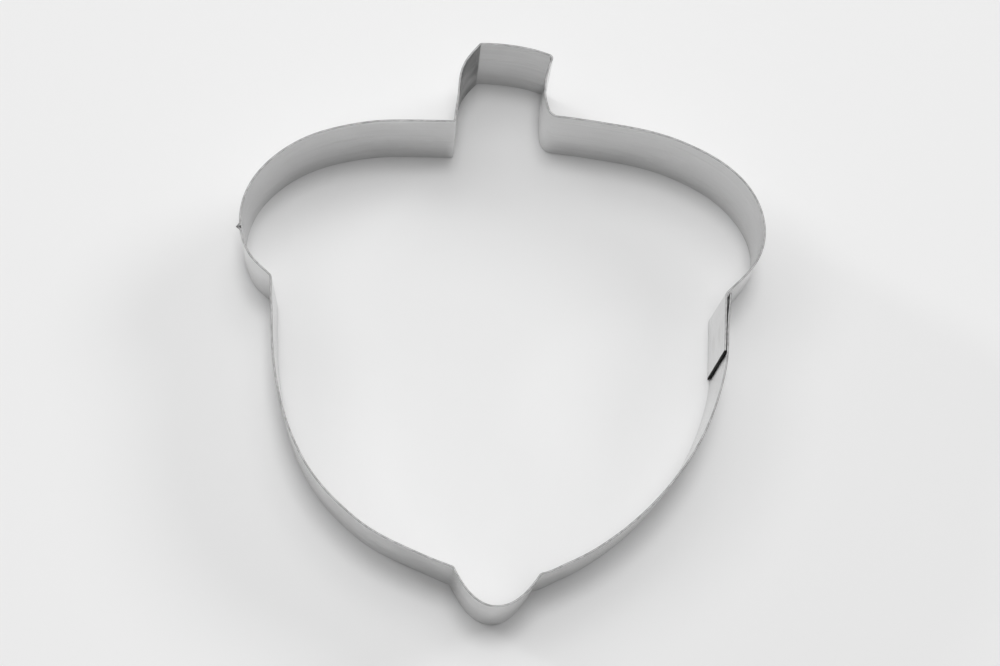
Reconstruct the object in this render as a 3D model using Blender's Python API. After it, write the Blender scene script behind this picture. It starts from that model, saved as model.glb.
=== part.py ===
"""An acorn-shaped cookie cutter: one thin steel strip bent on edge into the outline of an acorn.

Units are metres, +Z is up. The cutting edge stands on z = 0, the stem points to +Y, and the origin is
the middle of the cutter's footprint. The strip starts on the right of the nut, just under the cap. Its
first end lies inside, it runs anticlockwise round the cap, stem, cap, nut and tip, and its last end
laps over the first one on the outside, where two spot welds join the layers.
"""

import math

import bpy
from mathutils import Vector
from mathutils.geometry import interpolate_bezier

MM = 0.001

# ---------------------------------------------------------------- driving dimensions
BAND_HEIGHT = 25.4 * MM  # strip width, which is the depth of cut
BAND_THICKNESS = 0.3 * MM
POINT_SPACING = 0.9 * MM  # along the smooth runs
DEGREES_PER_FACET = 15  # round the folds

CREASE_RADIUS = 0.8 * MM  # folds where the cap meets the nut
SHARP_RADIUS = 0.5 * MM  # crisp folds at the stem and the tip
SOFT_RADIUS = 1.9 * MM  # the softest fold, at the foot of the stem

WELD_RADIUS = 0.9 * MM
WELD_Y = -0.3 * MM  # halfway along the lap
WELD_HEIGHTS = (8.5 * MM, 17.0 * MM)  # above the cutting edge, about thirds of the band
WELD_INNER_X = 34.25 * MM  # middle of the inner layer's thickness there
WELD_OUTER_X = 34.64 * MM  # middle of the outer layer's thickness there
WELD_SIDES = 24

# Stations along the middle of the strip: x and y in mm, heading in degrees from +X.
# Between two stations the strip runs in one arc-like curve.
INNER_LAP_END = (34.12, -4.5, 88)
OUTER_LAP_END = (34.98, 4.6, 86)
RIGHT_CAP = [(38.3, 8.6, 50), (40.85, 14.0, 85), (36.75, 23.4, 135), (28.2, 28.7, 157), (18.6, 31.3, 171)]
STEM_WAIST = [(6.62, 36.9, 90)]
STEM_TOP = [(0.6, 44.05, 174)]
STEM_LEFT = [(-5.95, 41.3, 241), (-6.88, 37.2, 267)]
LEFT_CAP_TOP = [(-17.3, 31.9, 181), (-27.0, 30.4, 195), (-35.6, 26.0, 220)]
LEFT_CAP_END = [(-40.6, 17.9, 261), (-39.1, 10.4, 305)]
LEFT_NUT_TOP = [(-35.6, 0.0, 270.5), (-34.55, -10.0, 281)]
LEFT_NUT_BOTTOM = [(-30.6, -21.2, 299), (-22.66, -30.25, 320), (-11.97, -36.03, 336)]
TIP = [(-1.0, -43.97, 0)]
RIGHT_NUT_BOTTOM = [(10.15, -36.9, 23), (18.4, -31.85, 38), (28.5, -20.9, 56)]
RIGHT_NUT_TOP = [(33.45, -9.95, 74), (34.47, -4.75, 85), (34.66, 0.0, 87)]

# Folds: x and y in mm of the corner, heading before it, heading after it, bend radius.
RIGHT_CREASE = (34.42, 5.0, 88, 44, CREASE_RADIUS)
RIGHT_SHOULDER = (7.5, 32.85, 174, 112, SOFT_RADIUS)
STEM_LIP = (7.8, 42.3, 66, 158, SHARP_RADIUS)
STEM_CORNER = (-3.55, 44.25, 181, 228, SHARP_RADIUS)
LEFT_SHOULDER = (-7.45, 31.83, 266, 179, SHARP_RADIUS)
LEFT_CREASE = (-35.75, 7.15, 315, 270, CREASE_RADIUS)
TIP_LEFT = (-7.68, -37.78, 339, 297, SHARP_RADIUS)
TIP_RIGHT = (5.5, -38.8, 56, 12, CREASE_RADIUS)


def clear_scene():
    """Removes whatever the scene held."""
    for old in list(bpy.data.objects):
        bpy.data.objects.remove(old, do_unlink=True)


def toward(degrees):
    """Unit vector in plan with this heading."""
    angle = math.radians(degrees)
    return Vector((math.cos(angle), math.sin(angle), 0.0))


def turn_between(before, after):
    """Signed turn in degrees from one heading to the next, anticlockwise positive."""
    return (after - before + 180) % 360 - 180


def place(station):
    """The station's point in metres."""
    return Vector((station[0] * MM, station[1] * MM, 0.0))


def smooth_run(start, start_heading, end, end_heading):
    """Points of the arc-like curve between two headed points, without its first point."""
    chord = (end - start).length
    quarter_turn = math.radians(turn_between(start_heading, end_heading)) / 4
    reach = chord / (3 * math.cos(quarter_turn) ** 2)  # exact for a circular arc
    first_handle = start + toward(start_heading) * reach
    last_handle = end - toward(end_heading) * reach
    count = max(3, math.ceil(chord / POINT_SPACING) + 1)
    return interpolate_bezier(start, first_handle, last_handle, end, count)[1:]


def fold_arc(fold):
    """Points of the round bend that replaces a fold's corner, both ends included."""
    before, after, radius = fold[2:]
    turn = turn_between(before, after)
    side = math.copysign(90, turn)
    setback = radius * math.tan(math.radians(abs(turn)) / 2)
    begin = place(fold) - toward(before) * setback
    centre = begin + toward(before + side) * radius
    count = math.ceil(abs(turn) / DEGREES_PER_FACET)
    return [centre + toward(before - side + turn * i / count) * radius for i in range(count + 1)]


def strip_line():
    """The strip's middle line in plan, from its inner end to its outer end."""
    route = [
        INNER_LAP_END,
        RIGHT_CREASE,
        *RIGHT_CAP,
        RIGHT_SHOULDER,
        *STEM_WAIST,
        STEM_LIP,
        *STEM_TOP,
        STEM_CORNER,
        *STEM_LEFT,
        LEFT_SHOULDER,
        *LEFT_CAP_TOP,
        *LEFT_CAP_END,
        LEFT_CREASE,
        *LEFT_NUT_TOP,
        *LEFT_NUT_BOTTOM,
        TIP_LEFT,
        *TIP,
        TIP_RIGHT,
        *RIGHT_NUT_BOTTOM,
        *RIGHT_NUT_TOP,
        OUTER_LAP_END,
    ]
    points = [place(route[0])]
    heading = route[0][2]
    for stop in route[1:]:
        is_fold = len(stop) > 3
        bend = fold_arc(stop) if is_fold else [place(stop)]
        points += smooth_run(points[-1], heading, bend[0], stop[2])
        points += bend[1:]
        heading = stop[3] if is_fold else stop[2]
    return points


def tinned_steel():
    """Bright steel sheet with a thin coat of tin."""
    material = bpy.data.materials.new("tinned_steel")
    material.use_nodes = True
    shader = material.node_tree.nodes["Principled BSDF"]
    shader.inputs["Base Color"].default_value = (0.62, 0.62, 0.61, 1.0)
    shader.inputs["Metallic"].default_value = 1.0
    shader.inputs["Roughness"].default_value = 0.28
    return material


def spot_weld(name, height):
    """A guide cylinder that bridges the two layers of the lap, for the band to take in."""
    length = WELD_OUTER_X - WELD_INNER_X
    middle = (WELD_INNER_X + length / 2, WELD_Y, height)
    bpy.ops.mesh.primitive_cylinder_add(
        vertices=WELD_SIDES, radius=WELD_RADIUS, depth=length, location=middle, rotation=(0, math.pi / 2, 0)
    )
    weld = bpy.context.object
    weld.name = name
    weld.hide_render = True
    weld.display_type = "WIRE"
    return weld


def cutter_band():
    """The whole strip: its middle line drawn up to full height, then given the sheet's thickness."""
    line = strip_line()
    low = [tuple(point) for point in line]
    high = [(x, y, BAND_HEIGHT) for x, y, _ in low]
    count = len(line)
    # The strip runs anticlockwise, so this order points each face away from the middle of the cutter.
    faces = [(i, i + 1, count + i + 1, count + i) for i in range(count - 1)]
    mesh = bpy.data.meshes.new("cutter_band")
    mesh.from_pydata(low + high, [], faces)
    mesh.materials.append(tinned_steel())
    band = bpy.data.objects.new("cutter_band", mesh)
    bpy.context.collection.objects.link(band)

    sheet = band.modifiers.new("sheet thickness", "SOLIDIFY")
    sheet.thickness = BAND_THICKNESS
    sheet.offset = 0.0
    sheet.use_even_offset = True
    for number, height in enumerate(WELD_HEIGHTS, start=1):
        join = band.modifiers.new(f"spot weld {number}", "BOOLEAN")
        join.operation = "UNION"
        join.object = spot_weld(f"weld_guide_{number}", height)
    mesh.shade_smooth()
    mesh.set_sharp_from_angle(angle=math.radians(35))
    return band


clear_scene()
cutter_band()
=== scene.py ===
# %% [markdown]
# # An acorn-shaped cookie cutter
#
# The real thing is a single strip of thin tinned steel, an inch wide. It is bent on edge round the
# outline of an acorn, and its two ends overlap on the right, just under the cap, where two spot welds
# hold them together. Nothing else is added: no handle, no rolled rim. So the whole character of the
# piece is in a few things: how crisp each fold is, how the wall leans a little here and there, how the
# sheared edges catch the light, and how the satin tin mirrors whatever it stands on.
#
# The lesson goes in the order of the work: the outline, the bent sheet, the welded lap, a burr, the
# thickness and the edges, then the finishes, and last the studio.

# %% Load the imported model
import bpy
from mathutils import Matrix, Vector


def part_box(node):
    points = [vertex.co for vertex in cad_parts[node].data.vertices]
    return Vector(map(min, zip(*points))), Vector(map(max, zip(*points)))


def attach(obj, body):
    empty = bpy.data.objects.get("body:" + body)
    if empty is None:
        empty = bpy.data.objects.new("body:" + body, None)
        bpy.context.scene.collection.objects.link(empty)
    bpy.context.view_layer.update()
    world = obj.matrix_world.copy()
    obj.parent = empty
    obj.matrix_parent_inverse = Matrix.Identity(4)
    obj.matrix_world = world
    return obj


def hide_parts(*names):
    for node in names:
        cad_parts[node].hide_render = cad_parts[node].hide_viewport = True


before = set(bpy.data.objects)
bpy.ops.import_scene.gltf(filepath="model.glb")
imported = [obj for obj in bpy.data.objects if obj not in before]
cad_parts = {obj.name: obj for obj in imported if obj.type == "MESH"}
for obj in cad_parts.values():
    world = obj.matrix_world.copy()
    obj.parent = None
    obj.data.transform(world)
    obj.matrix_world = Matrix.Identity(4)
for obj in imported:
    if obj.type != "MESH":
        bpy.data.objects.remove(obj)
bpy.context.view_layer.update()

# %% [markdown]
# ## The fixed sizes
#
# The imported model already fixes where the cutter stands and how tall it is, so its box is read first
# and kept. Every other size of the cutter is in millimetres, because that is how a sheet metal worker
# would say it, and MM turns it to metres. The strip's thickness is that of tinplate for bent cutters.

# %% Sizes that everything else uses
import math

import bmesh
import bpy
from mathutils import Vector

MM = 0.001
foot_corner, rim_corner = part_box("cutter_band")
BAND_HEIGHT = rim_corner.z - foot_corner.z
BAND_THICKNESS = 0.3 * MM
print(f"the band is {BAND_HEIGHT / MM:.1f} mm tall, from z = {foot_corner.z / MM:.2f} mm")

# %% [markdown]
# ## The outline
#
# A maker bends this strip round a form, fold by fold. The same happens here: the outline is a short
# list of stops. A bend stop says where the middle of the sheet passes and which way it heads, in
# degrees from +X. A fold stop says where the corner is, the headings before and after it, and how tight
# the fold is. The strip runs anticlockwise: right cap, stem, left cap, nut, tip, nut again, and its end
# lies over its beginning.
#
# A hand-bent strip doesn't stand perfectly upright. Each stop may have a lean: how far the rim is
# from being straight above the foot. It would be possible to model an upright wall and push it about
# afterwards, but with the lean in the list the foot and the rim are two smooth lines, and the wall
# between them is as clean as real sheet metal.

# %% The stops of the outline
CREASE_RADIUS = 0.8  # the folds where the cap meets the nut
SHARP_RADIUS = 0.5  # crisp folds at the stem and the tip
SOFT_RADIUS = 1.9  # the softest fold, at the foot of the stem


def fold(x, y, before, after, radius, lean=(0.0, 0.0)):
    """A stop at a corner that is rounded to this radius."""
    place = {"at": Vector((x, y)), "lean": Vector(lean)}
    return {**place, "before": before, "after": after, "radius": radius}


def bend(x, y, heading, lean=(0.0, 0.0)):
    """A stop on a smooth stretch: a fold that doesn't turn."""
    return fold(x, y, heading, heading, 0.0, lean)


lap_start = [bend(34.12, -4.5, 88, lean=(0.3, 0.3))]
right_cap = [
    fold(34.42, 5.0, 88, 44, CREASE_RADIUS, lean=(0.32, -0.2)),
    bend(38.3, 8.6, 50, lean=(0.1, 0.1)),
    bend(40.85, 14.0, 85, lean=(-0.5, -0.3)),
    bend(36.75, 23.4, 135),
    bend(28.2, 28.7, 157),
    bend(18.6, 31.3, 171),
]
stem = [
    fold(7.5, 32.85, 174, 112, SOFT_RADIUS),
    bend(6.62, 36.9, 90, lean=(-0.2, 0.0)),
    fold(7.8, 42.3, 66, 158, SHARP_RADIUS, lean=(0.0, 0.1)),
    bend(0.6, 44.05, 174, lean=(0.0, 0.1)),
    fold(-3.55, 44.25, 181, 228, SHARP_RADIUS, lean=(0.0, 0.1)),
    bend(-5.95, 41.3, 241),
    bend(-6.88, 37.2, 267),
    fold(-7.45, 31.83, 266, 179, SHARP_RADIUS, lean=(-0.15, 0.05)),
]
left_cap = [
    bend(-17.3, 31.9, 181),
    bend(-27.0, 30.4, 195),
    bend(-35.6, 26.0, 220),
    bend(-40.6, 17.9, 261),
    bend(-39.1, 10.4, 305),
    fold(-35.75, 7.15, 315, 270, CREASE_RADIUS, lean=(-0.35, 0.1)),
]
left_nut = [
    bend(-35.6, 0.0, 270.5, lean=(-0.2, 0.0)),
    bend(-34.55, -10.0, 281, lean=(-0.4, 0.0)),
    bend(-30.6, -21.2, 299, lean=(-0.2, -0.1)),
    bend(-22.66, -30.25, 320, lean=(-0.08, -0.09)),
    bend(-11.97, -36.03, 336, lean=(-0.06, -0.14)),
]
tip = [
    fold(-7.68, -37.78, 339, 297, SHARP_RADIUS),
    bend(-1.0, -43.97, 0, lean=(0.0, 0.4)),
    fold(5.5, -38.8, 56, 12, CREASE_RADIUS, lean=(0.4, 0.0)),
]
right_nut = [
    bend(10.15, -36.9, 23, lean=(0.1, -0.2)),
    bend(18.4, -31.85, 38, lean=(0.15, -0.2)),
    bend(28.5, -20.9, 56, lean=(0.25, -0.15)),
    bend(33.45, -9.95, 74, lean=(0.25, -0.05)),
    bend(34.47, -4.75, 85, lean=(0.3, 0.0)),
]
lap_finish = [bend(34.66, 0.0, 87, lean=(0.28, 0.0)), bend(35.0, 5.0, 86, lean=(0.5, 0.0))]
outline = lap_start + right_cap + stem + left_cap + left_nut + tip + right_nut + lap_finish
print(f"{len(outline)} stops, {sum(stop['radius'] > 0 for stop in outline)} of them folds")

# %% [markdown]
# ## Two lines, foot and rim
#
# Each line is a Bezier curve with a knot at each stop, or two where a fold begins and ends. A handle
# lies along the heading. With the handle length below, a Bezier piece between two headings is as good
# as an arc, so one rule draws the long bends and the tight folds alike. Both lines have the same knots
# and the same steps, so later each point of the rim has its own point of the foot.

# %% Knots and handles
STEPS_PER_PIECE = 16


def toward(degrees):
    """Unit vector in plan with this heading."""
    return Vector((math.cos(math.radians(degrees)), math.sin(math.radians(degrees))))


def turn_between(before, after):
    """Signed turn in degrees from one heading to the next, anticlockwise positive."""
    return (after - before + 180) % 360 - 180


def knots_of(stop, level):
    """The (point, heading) pairs of a stop, at level -0.5 for the foot to 0.5 for the rim."""
    corner = stop["at"] + stop["lean"] * level
    if not stop["radius"]:
        return [(corner, stop["before"])]
    turn = turn_between(stop["before"], stop["after"])
    setback = stop["radius"] * math.tan(math.radians(abs(turn)) / 2)
    begin = corner - toward(stop["before"]) * setback
    end = corner + toward(stop["after"]) * setback
    return [(begin, stop["before"]), (end, stop["after"])]


def reach_between(knot, following):
    """Handle length that makes the piece between two knots arc-like."""
    quarter_turn = math.radians(turn_between(knot[1], following[1])) / 4
    return (following[0] - knot[0]).length / (3 * math.cos(quarter_turn) ** 2)


# %% Draw the two lines
def draw_line(name, level, height):
    """The outline as a mesh line at this height, drawn as a Bezier curve and then converted."""
    knots = [knot for stop in outline for knot in knots_of(stop, level)]
    reaches = [reach_between(a, b) for a, b in zip(knots, knots[1:])]
    backs = [reaches[0], *reaches]
    aheads = [*reaches, reaches[-1]]
    bpy.ops.object.select_all(action="DESELECT")
    bpy.ops.curve.primitive_bezier_curve_add(location=(0, 0, 0))
    line = bpy.context.object
    line.name = name
    spline = line.data.splines[0]
    spline.resolution_u = STEPS_PER_PIECE
    spline.bezier_points.add(len(knots) - len(spline.bezier_points))
    for point, knot, back, ahead in zip(spline.bezier_points, knots, backs, aheads):
        point.handle_left_type = point.handle_right_type = "FREE"
        point.co = (knot[0] * MM).to_3d() + Vector((0, 0, height))
        point.handle_left = point.co - (toward(knot[1]) * back * MM).to_3d()
        point.handle_right = point.co + (toward(knot[1]) * ahead * MM).to_3d()
    bpy.ops.object.convert(target="MESH")
    return bpy.context.object


foot_line = draw_line("foot_line", -0.5, foot_corner.z)
rim_line = draw_line("rim_line", 0.5, rim_corner.z)
foot_points, rim_points = len(foot_line.data.vertices), len(rim_line.data.vertices)
print(f"{foot_points} points along the foot, {rim_points} along the rim")

# %% [markdown]
# ## The bent sheet
#
# Bridging the two lines gives the wall as one skin with no thickness yet. It could be done as one row
# of tall faces, but the welds need points in between, so the bridge is cut into rows about a millimetre
# high.

# %% Bridge the foot to the rim
ROWS = 24


def open_for_editing(piece, mode="VERT"):
    """Makes the piece the only one selected and enters edit mode with nothing picked."""
    if bpy.context.mode != "OBJECT":
        bpy.ops.object.mode_set(mode="OBJECT")
    bpy.ops.object.select_all(action="DESELECT")
    bpy.context.view_layer.objects.active = piece
    piece.select_set(True)
    bpy.ops.object.mode_set(mode="EDIT")
    bpy.ops.mesh.select_mode(type=mode)
    bpy.ops.mesh.select_all(action="DESELECT")


bpy.ops.object.select_all(action="DESELECT")
foot_line.select_set(True)
rim_line.select_set(True)
bpy.context.view_layer.objects.active = foot_line
bpy.ops.object.join()
band = bpy.context.object
band.name = "acorn_band"
band.data.name = "acorn_band"
open_for_editing(band, "EDGE")
bpy.ops.mesh.select_all(action="SELECT")
bpy.ops.mesh.bridge_edge_loops(number_cuts=ROWS - 1, interpolation="LINEAR", smoothness=0)
bpy.ops.object.mode_set(mode="OBJECT")
print(f"the skin has {len(band.data.polygons)} faces")

# %% [markdown]
# ## The spot welds
#
# A spot welder squeezes the lap between two copper electrodes and melts one small round patch. What is
# left is a shallow dish on both sides, and the layers touch only there. The dishes could be cut with a
# Boolean, but its rim would be too hard. So the skin is made finer round the welds, and then one point
# of each layer is pushed toward the other with soft falloff. The falloff follows the skin, so the other
# layer, which is close by but joined only the long way round, stays where it is.

# %% Press the two welds
WELD_Y = -0.3
WELD_HEIGHTS = (8.5, 17.0)
INNER_X = 34.25
OUTER_X = 34.64
DISH_DEPTH = 0.05
SOFT_REACH = 1.5
FINER_REACH = 2.4
FINER_CUTS = 3


def pick_faces(piece, test):
    """In edit mode, selects the faces that pass the test, and says how many they are."""
    mesh = bmesh.from_edit_mesh(piece.data)
    chosen = [face for face in mesh.faces if test(face)]
    for face in chosen:
        face.select_set(True)
    bmesh.update_edit_mesh(piece.data)
    return len(chosen)


def near_weld(face):
    """True for a face beside one of the welds, on either layer."""
    centre = face.calc_center_median() / MM
    beside = abs(centre.y - WELD_Y) < FINER_REACH and centre.x > 0
    return beside and any(abs(centre.z - height) < FINER_REACH for height in WELD_HEIGHTS)


open_for_editing(band, "FACE")
made_finer = pick_faces(band, near_weld)
bpy.ops.mesh.subdivide(number_cuts=FINER_CUTS)
print(f"{made_finer} faces made finer for the welds")


def press(piece, target, push, reach, falloff="SPHERE"):
    """Pushes the skin's point nearest to a place, with soft falloff along the skin. All in mm."""
    target = Vector(target) * MM
    open_for_editing(piece, "VERT")
    mesh = bmesh.from_edit_mesh(piece.data)
    nearest = min(mesh.verts, key=lambda vert: (vert.co - target).length)
    nearest.select_set(True)
    bmesh.update_edit_mesh(piece.data)
    bpy.ops.transform.translate(
        value=[part * MM for part in push],
        use_proportional_edit=True,
        use_proportional_connected=True,
        proportional_edit_falloff=falloff,
        proportional_size=reach * MM,
    )


for weld_height in WELD_HEIGHTS:
    press(band, (INNER_X, WELD_Y, weld_height), (DISH_DEPTH, 0, 0), SOFT_REACH)
    press(band, (OUTER_X, WELD_Y, weld_height), (-DISH_DEPTH, 0, 0), SOFT_REACH)
bpy.ops.object.mode_set(mode="OBJECT")

# %% [markdown]
# ## A burr on the rim
#
# The slitting left one small burr on the left of the cap, a tongue of metal half a millimetre long. It
# could be a piece of its own stuck on, but a burr grows out of its edge. So it is made like the welds:
# the skin is made finer there and one point of the rim is drawn outward.

# %% Draw out the burr
BURR_AT = (-40.75, 14.9, 25.4)
BURR_PUSH = (-0.65, -0.05, -0.12)
BURR_REACH = 0.7
BURR_FINER_REACH = 1.4


def near_burr(face):
    """True for a face beside the burr."""
    return (face.calc_center_median() / MM - Vector(BURR_AT)).length < BURR_FINER_REACH


open_for_editing(band, "FACE")
made_finer = pick_faces(band, near_burr)
bpy.ops.mesh.subdivide(number_cuts=FINER_CUTS)
press(band, BURR_AT, BURR_PUSH, BURR_REACH, "SHARP")
print(f"{made_finer} faces made finer for the burr")
bpy.ops.object.mode_set(mode="OBJECT")

# %% [markdown]
# ## Thickness and edges
#
# Sheet metal has the same thickness everywhere, measured square to its face, also through a fold. That
# is what Solidify with even thickness does; an extrusion along the normals would thin the folds. The
# long edges were slit by a machine, so they are nearly square, with the corners just broken. A fine
# Bevel on the sharp corners is enough: it leaves a narrow flat along the middle of the rim, and the two
# rounded corners catch a little light.

# %% Give the sheet its thickness and break its corners
EDGE_BREAK = 0.11 * MM
BREAK_FROM = math.radians(60)  # only corners sharper than this are broken
SHARP_FROM = math.radians(35)  # and only those sharper than this shade as an edge


def finish_with(piece, kind, **settings):
    """Adds a modifier with these settings and applies it."""
    bpy.ops.object.select_all(action="DESELECT")
    bpy.context.view_layer.objects.active = piece
    piece.select_set(True)
    modifier = piece.modifiers.new(kind.lower(), kind)
    for name, value in settings.items():
        setattr(modifier, name, value)
    bpy.ops.object.modifier_apply(modifier=modifier.name)


finish_with(band, "SOLIDIFY", thickness=BAND_THICKNESS, offset=0.0, use_even_offset=True)
finish_with(band, "BEVEL", width=EDGE_BREAK, segments=4, limit_method="ANGLE", angle_limit=BREAK_FROM)
bpy.ops.object.shade_smooth_by_angle(angle=SHARP_FROM)
print(f"the band has {len(band.data.polygons)} faces")

# %% [markdown]
# ## Three finishes
#
# The strip shows its metal in three states: the rolled and tinned faces, the slit edges, and the cut
# ends. Each could be a painted image, but a pattern built from noise in real sizes keeps its grain at
# any distance and needs no file. All three trees are built with the same three small helpers: one turns
# an sRGB hex colour to linear, one starts a material, and one adds a node with its settings and links.

# %% Colours and nodes


def linear(hex_colour):
    """An sRGB hex colour as linear RGBA."""
    channels = [int(hex_colour[i : i + 2], 16) / 255 for i in (1, 3, 5)]
    return [c / 12.92 if c <= 0.04045 else ((c + 0.055) / 1.055) ** 2.4 for c in channels] + [1.0]


def new_material(name):
    """An empty material with a shader, and its tree."""
    material = bpy.data.materials.new(name)
    material.use_nodes = True
    return material, material.node_tree, material.node_tree.nodes["Principled BSDF"]


def add(tree, kind, inputs=None, **settings):
    """Adds a node, sets its settings, and gives each named input a value or a link."""
    made = tree.nodes.new(kind)
    for name, value in settings.items():
        setattr(made, name, value)
    for key, value in (inputs or {}).items():
        if isinstance(value, bpy.types.NodeSocket):
            tree.links.new(value, made.inputs[key])
        else:
            made.inputs[key].default_value = value
    return made


# %% [markdown]
# ## Satin tinplate
#
# Tinplate is steel sheet dipped or plated with tin. Rolling leaves it nearly a mirror, but one with a
# grain: very fine lines that run along the strip, so a reflection is drawn out up and down the wall and
# stays crisp along it. Handling adds soft smudges and a few thin scratches, the welder a duller ring
# round each weld, and one tight corner of the stem gets painted shade in its colour. Anisotropic
# shading could draw the reflections out, but it gives one even streak; lines of noise also give the
# sheet its grain.
# Everything reads the piece's own coordinates, so each pattern keeps its size in millimetres. The lines
# of the real sheet are about 0.05 mm apart; here the broadest are 0.8 mm, because finer ones melt
# together at this distance.

# %% Satin tinplate: grain, smudges and scratches
GRAIN_PITCH = 0.8 * MM
GRAIN_LENGTH = 25 * MM
SMUDGE_SIZE = 6 * MM
SCRATCH_LENGTH = 9 * MM
SCRATCH_WIDTH = 0.25 * MM

tinplate, tree, shader = new_material("satin_tinplate")
shader.inputs["Metallic"].default_value = 1.0
coordinates = add(tree, "ShaderNodeTexCoord")
where = coordinates.outputs["Object"]

# The rolling grain: long along the strip, fine across it.
per_grain = (1 / GRAIN_LENGTH, 1 / GRAIN_LENGTH, 1 / GRAIN_PITCH)
grain_place = add(tree, "ShaderNodeMapping", {"Vector": where, "Scale": per_grain})
grain = add(tree, "ShaderNodeTexNoise", {"Vector": grain_place.outputs[0], "Scale": 1.0, "Detail": 4.0})

# Smudges from handling, a few millimetres across.
smudge = add(tree, "ShaderNodeTexNoise", {"Vector": where, "Scale": 1 / SMUDGE_SIZE, "Detail": 4.0})

# Scratches from the cutter's life in a drawer: thin, sparse, at a steep angle to the grain.
scratch_turn = (0.0, math.radians(24), math.radians(15))
per_scratch = (1 / SCRATCH_LENGTH, 1 / SCRATCH_LENGTH, 1 / SCRATCH_WIDTH)
scratched = {"Vector": where, "Rotation": scratch_turn, "Scale": per_scratch}
scratch_place = add(tree, "ShaderNodeMapping", scratched).outputs[0]
scratch_noise = add(tree, "ShaderNodeTexNoise", {"Vector": scratch_place, "Scale": 1.0, "Detail": 1.0})
sparse = {"Value": scratch_noise.outputs["Fac"], "From Min": 0.68, "From Max": 0.74}
scratch = add(tree, "ShaderNodeMapRange", sparse)
print(f"three patterns made with {len(tree.nodes)} nodes")

# %% [markdown]
# ### The colour of the tin
#
# Tin is a white metal, and three things take the white down a little: the grain and the smudges, the
# heat round each weld, and painted shade in the tight corner at the top left of the stem, where the
# colour is made darker to stand for the shade mirrored there. The last could be painted by hand, but a
# mask by place says exactly where it is, and the way the surface looks keeps it on the inside of that
# one short panel.

# %% Satin tinplate: the welds' rings
WELD_RADIUS = 0.9 * MM
HEAT_REACH = 2.2 * MM

rings = []
for weld_height in WELD_HEIGHTS:
    weld_middle = (INNER_X * MM, WELD_Y * MM, weld_height * MM)
    away = add(tree, "ShaderNodeVectorMath", {0: where, 1: weld_middle}, operation="DISTANCE")
    ring = {"Value": away.outputs["Value"], "From Min": WELD_RADIUS, "From Max": HEAT_REACH}
    near = add(tree, "ShaderNodeMapRange", {**ring, "To Min": 1.0, "To Max": 0.0})
    rings.append(near.outputs[0])
heat = add(tree, "ShaderNodeMath", {0: rings[0], 1: rings[1]}, operation="MAXIMUM").outputs[0]

# %% Satin tinplate: bright tin and painted shade in one corner
SMUDGE_SHARE = 0.4
# The panel that takes the painted shade, and how its edges fade.
PANEL_RIGHT = -3.7 * MM
PANEL_FOOT = 38.5 * MM
PANEL_NORMAL = (*toward(-35), 0.0)
FADE_ACROSS = 0.3 * MM
FADE_UP = 1.8 * MM
SHADE_GAIN = 1.6
HEAT_TINT = 0.35

blend = {"Factor": SMUDGE_SHARE, "A": grain.outputs["Fac"], "B": smudge.outputs["Fac"]}
uneven = add(tree, "ShaderNodeMix", blend, data_type="FLOAT")
tone = add(tree, "ShaderNodeValToRGB", {"Fac": uneven.outputs["Result"]})
tone.color_ramp.elements[0].position = 0.3
tone.color_ramp.elements[0].color = linear("#C0C0C0")
tone.color_ramp.elements[1].position = 0.7
tone.color_ramp.elements[1].color = linear("#D6D6D6")

# The painted shade covers the panel that lies left of one line and above another, and looks into the
# stem.
place = add(tree, "ShaderNodeSeparateXYZ", {"Vector": where})
left = {"Value": place.outputs["X"], "From Min": PANEL_RIGHT + FADE_ACROSS, "From Max": PANEL_RIGHT}
high = {"Value": place.outputs["Y"], "From Min": PANEL_FOOT, "From Max": PANEL_FOOT + FADE_UP}
looks = coordinates.outputs["Normal"]
inward = add(tree, "ShaderNodeVectorMath", {0: looks, 1: PANEL_NORMAL}, operation="DOT_PRODUCT")
inside = {"Value": inward.outputs["Value"], "From Min": 0.2, "From Max": 0.5}
shaded = smudge.outputs["Fac"]
for limit, top in ((left, 1.0), (high, 1.0), (inside, SHADE_GAIN)):
    mask = add(tree, "ShaderNodeMapRange", {**limit, "To Max": top})
    both = {0: shaded, 1: mask.outputs[0]}
    shaded = add(tree, "ShaderNodeMath", both, operation="MULTIPLY", use_clamp=True).outputs[0]
# Painted shade: on that panel the tin's colour is mixed toward dark grey.
shade_blend = {"Factor": shaded, "A": tone.outputs["Color"], "B": linear("#505050")}
with_painted_shade = add(tree, "ShaderNodeMix", data_type="RGBA", inputs=shade_blend)

# The welds' rings go over the rest.
heat_amount = add(tree, "ShaderNodeMath", {0: heat, 1: HEAT_TINT}, operation="MULTIPLY").outputs[0]
tint = {"Factor": heat_amount, "A": with_painted_shade.outputs["Result"], "B": linear("#A9A8A4")}
heated = add(tree, "ShaderNodeMix", data_type="RGBA", inputs=tint)
tree.links.new(heated.outputs["Result"], shader.inputs["Base Color"])
print(f"the dull panel lies left of x = {PANEL_RIGHT / MM:.1f} mm, above y = {PANEL_FOOT / MM:.1f} mm")

# %% [markdown]
# ### How rough and how flat it is
#
# The look of satin metal is mostly roughness. One even value would give a clean plastic sheen, so the
# smudges make it vary slowly, the grain line by line, and each scratch is a rough line. The relief is
# real but slight: the grain is only microns deep, and the sheet waves very slightly where it was bent.

# %% Satin tinplate: roughness and relief
SCUFF_ROUGHNESS = 0.2
WAVE_SIZE = 14 * MM
WAVE_DEPTH = 0.06 * MM
GRAIN_DEPTH = 0.002 * MM

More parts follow.
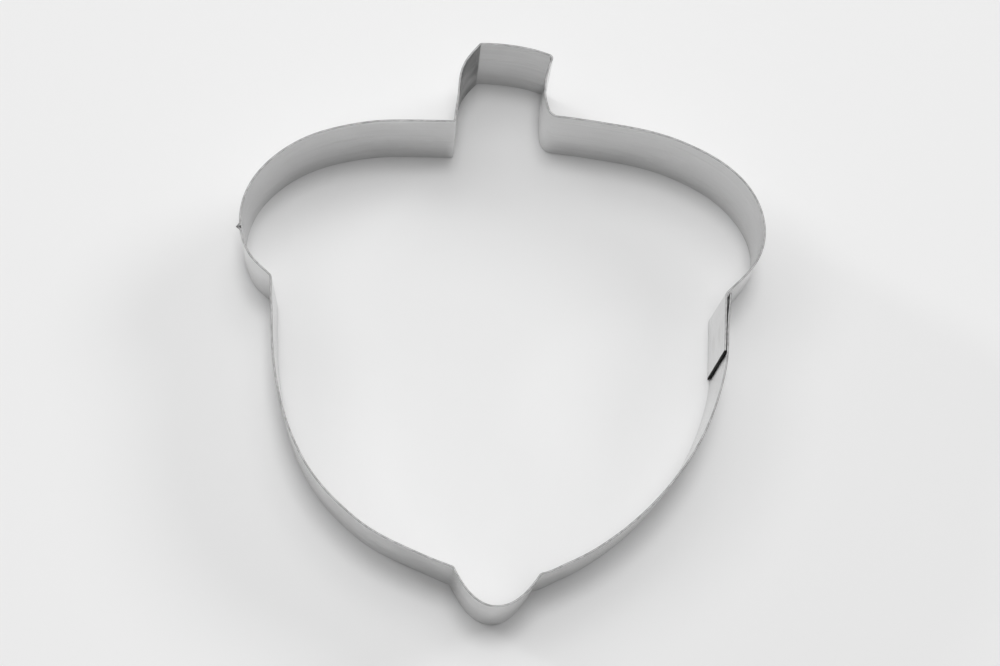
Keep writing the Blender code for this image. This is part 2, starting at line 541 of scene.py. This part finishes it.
slow = {"Value": smudge.outputs["Fac"], "From Min": 0.35, "From Max": 0.7}
smudged = add(tree, "ShaderNodeMapRange", {**slow, "To Min": 0.12, "To Max": 0.2})
fast = {"Value": grain.outputs["Fac"], "From Min": 0.3, "From Max": 0.7}
lined = add(tree, "ShaderNodeMapRange", {**fast, "To Min": 0.0, "To Max": 0.06})
plain = add(tree, "ShaderNodeMath", {0: smudged.outputs[0], 1: lined.outputs[0]}, operation="ADD")
scuffs = {0: scratch.outputs[0], 1: SCUFF_ROUGHNESS}
scuffed = add(tree, "ShaderNodeMath", scuffs, operation="MULTIPLY")
rough = add(tree, "ShaderNodeMath", {0: plain.outputs[0], 1: scuffed.outputs[0]}, operation="ADD")
tree.links.new(rough.outputs[0], shader.inputs["Roughness"])

wave = add(tree, "ShaderNodeTexNoise", {"Vector": where, "Scale": 1 / WAVE_SIZE, "Detail": 1.0})
waved = add(tree, "ShaderNodeBump", {"Height": wave.outputs["Fac"], "Distance": WAVE_DEPTH})
relief = {"Height": grain.outputs["Fac"], "Distance": GRAIN_DEPTH, "Normal": waved.outputs[0]}
grained = add(tree, "ShaderNodeBump", relief)
tree.links.new(grained.outputs[0], shader.inputs["Normal"])
band.data.materials.append(tinplate)
print(f"the whole finish has {len(tree.nodes)} nodes")

# %% [markdown]
# ## The sheared edges
#
# The strip was slit from a wide sheet, so its edges are torn steel rather than rolled tin: duller,
# greyer, with tiny marks across the thickness. A bright edge would look like wire. So the rim and the
# cutting edge get a finish of their own, picked by which way the faces point.

# %% Sheared steel edge
SHEAR_MARK_PITCH = 0.6 * MM
EDGE_TILT = 0.45  # a face is on an edge when this much of its normal points up or down

sheared, tree, shader = new_material("sheared_steel_edge")
shader.inputs["Metallic"].default_value = 1.0
where = add(tree, "ShaderNodeTexCoord").outputs["Object"]
marks = add(tree, "ShaderNodeTexNoise", {"Vector": where, "Scale": 1 / SHEAR_MARK_PITCH, "Detail": 2.0})
tone = add(tree, "ShaderNodeValToRGB", {"Fac": marks.outputs["Fac"]})
tone.color_ramp.elements[0].position = 0.35
tone.color_ramp.elements[0].color = linear("#868686")
tone.color_ramp.elements[1].position = 0.65
tone.color_ramp.elements[1].color = linear("#A2A2A2")
tree.links.new(tone.outputs["Color"], shader.inputs["Base Color"])
shader.inputs["Roughness"].default_value = 0.6
band.data.materials.append(sheared)
open_for_editing(band, "FACE")
on_edge = pick_faces(band, lambda face: abs(face.normal.z) > EDGE_TILT)
band.active_material_index = 1
bpy.ops.object.material_slot_assign()
print(f"{on_edge} faces along the rim and the foot are sheared steel")

# %% [markdown]
# ## The cut ends, painted black as shade
#
# Where the strip was chopped to length there is no tin at all, only bare steel. Its near-black colour
# here is painted shade, standing for the dark gap between the two layers of the lap. At the inner end
# the black also creeps 0.3 mm along the faces, so it shows as one dark bar. A mask in the tinplate
# could paint that margin, but a cut with Bisect, parallel to the end, gives it an edge as crisp as the
# real one and keeps each finish in a slot of its own.

# %% Cut steel, painted black as shade
painted_shade_black, tree, shader = new_material("cut_steel_painted_shade")
where = add(tree, "ShaderNodeTexCoord").outputs["Object"]
black_mottle = add(tree, "ShaderNodeTexNoise", {"Vector": where, "Scale": 1 / SHEAR_MARK_PITCH, "Detail": 3.0})
# Painted shade: the ramp runs from near black to dark grey, so the cut steel stands for the dark gap at
# the lap.
tone = add(tree, "ShaderNodeValToRGB", {"Fac": black_mottle.outputs["Fac"]})
tone.color_ramp.elements[0].position = 0.4
tone.color_ramp.elements[0].color = linear("#0E0D0C")
tone.color_ramp.elements[1].position = 0.7
tone.color_ramp.elements[1].color = linear("#26231F")
tree.links.new(tone.outputs["Color"], shader.inputs["Base Color"])
shader.inputs["Roughness"].default_value = 0.7
shader.inputs["Specular IOR Level"].default_value = 0.1
band.data.materials.append(painted_shade_black)
print(f"the band has {len(band.data.materials)} finishes")

# %% Cut a margin at the inner end and paint both ends black as shade
SHADE_MARGIN = 0.3
CUT_REACH = 1.2  # the cut goes only through faces that are this near the end
END_REACH = 0.6  # a cut end's faces are this near its stop
END_SLACK = 0.1
LAYER_HALF = 0.19  # half the sheet's thickness and a little over, but short of the outer layer
RUNS_ON, RUNS_UP = 1, -1  # whether the strip runs on from an end or up to it
inner_end = lap_start[0]
outer_end = lap_finish[-1]


def beside_end(face, end, way, reach):
    """True for a face of the layer that has this end, within reach, in mm, of the cut."""
    centre = face.calc_center_median() / MM
    level = centre.z * MM / BAND_HEIGHT - 0.5
    offset = centre.xy - end["at"] - end["lean"] * level
    into = toward(end["before"]) * way
    return -END_SLACK < offset.dot(into) < reach and abs(offset.cross(into)) < LAYER_HALF


def on_cut_end(face):
    """True for a face of either cut end, the one that looks away from the strip."""
    for end, way in ((inner_end, RUNS_ON), (outer_end, RUNS_UP)):
        looks_away = face.normal.xy.dot(toward(end["before"]) * -way) > EDGE_TILT
        if looks_away and abs(face.normal.z) < EDGE_TILT and beside_end(face, end, way, END_REACH):
            return True
    return False


def in_margin(face):
    """True for a face of the margin at the inner end that is painted black as shade."""
    return beside_end(face, inner_end, RUNS_ON, SHADE_MARGIN)


open_for_editing(band, "FACE")
pick_faces(band, lambda face: beside_end(face, inner_end, RUNS_ON, CUT_REACH))
margin_way = toward(inner_end["before"])
margin_at = (inner_end["at"] + margin_way * SHADE_MARGIN) * MM
end_slant = inner_end["lean"].dot(margin_way) * MM / BAND_HEIGHT
bpy.ops.mesh.bisect(plane_co=(*margin_at, BAND_HEIGHT / 2), plane_no=(*margin_way, -end_slant))
open_for_editing(band, "FACE")
at_ends = pick_faces(band, lambda face: on_cut_end(face) or in_margin(face))
band.active_material_index = 2
bpy.ops.object.material_slot_assign()
bpy.ops.object.mode_set(mode="OBJECT")
print(f"{at_ends} faces at the cut ends are scorched")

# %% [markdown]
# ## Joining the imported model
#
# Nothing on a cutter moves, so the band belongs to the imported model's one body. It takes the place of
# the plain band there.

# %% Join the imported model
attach(band, "root")
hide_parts("cutter_band")
print(f"{band.name} takes the place of cutter_band")

# %% [markdown]
# ## The floor
#
# The cutter lies on matt white board. A glossy floor would double every fold with a reflection. Board
# has no gloss at all, so it shows only soft shadows and the light that the tin throws back on it. The
# sheet is far wider than the view, so it has no edge in sight.

# %% The white board
FLOOR_SIZE = 4.0  # metres

bpy.ops.object.select_all(action="DESELECT")
bpy.ops.mesh.primitive_plane_add(size=FLOOR_SIZE, location=(0, 0, foot_corner.z))
floor = bpy.context.object
floor.name = "studio_floor"
white_board, tree, shader = new_material("matt_white_board")
shader.inputs["Base Color"].default_value = linear("#EDEDED")
shader.inputs["Roughness"].default_value = 0.9
shader.inputs["Specular IOR Level"].default_value = 0.0
floor.data.materials.append(white_board)
print(f"the board is {FLOOR_SIZE:.0f} m square, at z = {foot_corner.z / MM:.2f} mm")

# %% [markdown]
# ## The light
#
# Metal looks like whatever is round it, so the light is most of its look. One big lamp would flatten
# it. More than half of the light comes from three softboxes nearly overhead, so each wall lays only a
# short soft shadow. Three more at the sides throw light off the inside of the nut onto the board, and a
# dim white room fills the rest.

# %% Six softboxes and a white room
LAMP_DISTANCE = 1.5  # metres from the middle of the cutter
ROOM_STRENGTH = 0.125

world = bpy.data.worlds.new("white_room")
world.use_nodes = True
bpy.context.scene.world = world
room = world.node_tree.nodes["Background"]
room.inputs["Color"].default_value = (1, 1, 1, 1)
room.inputs["Strength"].default_value = ROOM_STRENGTH


def softbox(name, bearing, height, size, power):
    """A round softbox that faces the cutter: degrees clockwise from +Y, degrees up, metres, watts."""
    turn = math.radians(bearing)
    rise = math.radians(height)
    flat = LAMP_DISTANCE * math.cos(rise)
    spot = Vector((flat * math.sin(turn), flat * math.cos(turn), LAMP_DISTANCE * math.sin(rise)))
    bpy.ops.object.light_add(type="AREA", location=spot)
    lamp = bpy.context.object
    lamp.name = name
    lamp.data.shape = "DISK"
    lamp.data.size = size
    lamp.data.energy = power
    lamp.rotation_euler = spot.to_track_quat("Z", "Y").to_euler()
    print(f"{name}: {power} W, {size} m across")


softbox("overhead_back", bearing=0, height=85, size=0.22, power=5.7)
softbox("overhead_front", bearing=180, height=85, size=0.22, power=3.5)
softbox("high_back", bearing=0, height=78, size=0.6, power=4.2)
softbox("high_left", bearing=300, height=64, size=0.6, power=2.6)
softbox("right", bearing=60, height=45, size=0.6, power=4.1)
softbox("low_left", bearing=300, height=25, size=0.22, power=2.8)

# %% [markdown]
# ## The view
#
# The camera looks almost straight down, from a little in front and to the left, so the inside of the
# cap's wall shows its full height and the nut's walls are seen from the outside. A long lens keeps the
# outline nearly free of perspective. The plain colour transform leaves whites white.

# %% The camera
CAMERA_PLACE = (-20.0, -96.6, 571.8)
CAMERA_TURN = (9.86, -2.04, 0.0)
LENS = 129.6
SENSOR_WIDTH = 36.0

bpy.ops.object.camera_add(
    location=[value * MM for value in CAMERA_PLACE],
    rotation=[math.radians(value) for value in CAMERA_TURN],
)
camera = bpy.context.object
camera.name = "studio_camera"
camera.data.lens = LENS
camera.data.sensor_width = SENSOR_WIDTH
camera.data.clip_start = 0.01
bpy.context.scene.camera = camera
bpy.context.scene.view_settings.view_transform = "Standard"
print(f"a {LENS} mm lens, {Vector(CAMERA_PLACE).length:.0f} mm from the middle of the cutter's foot")
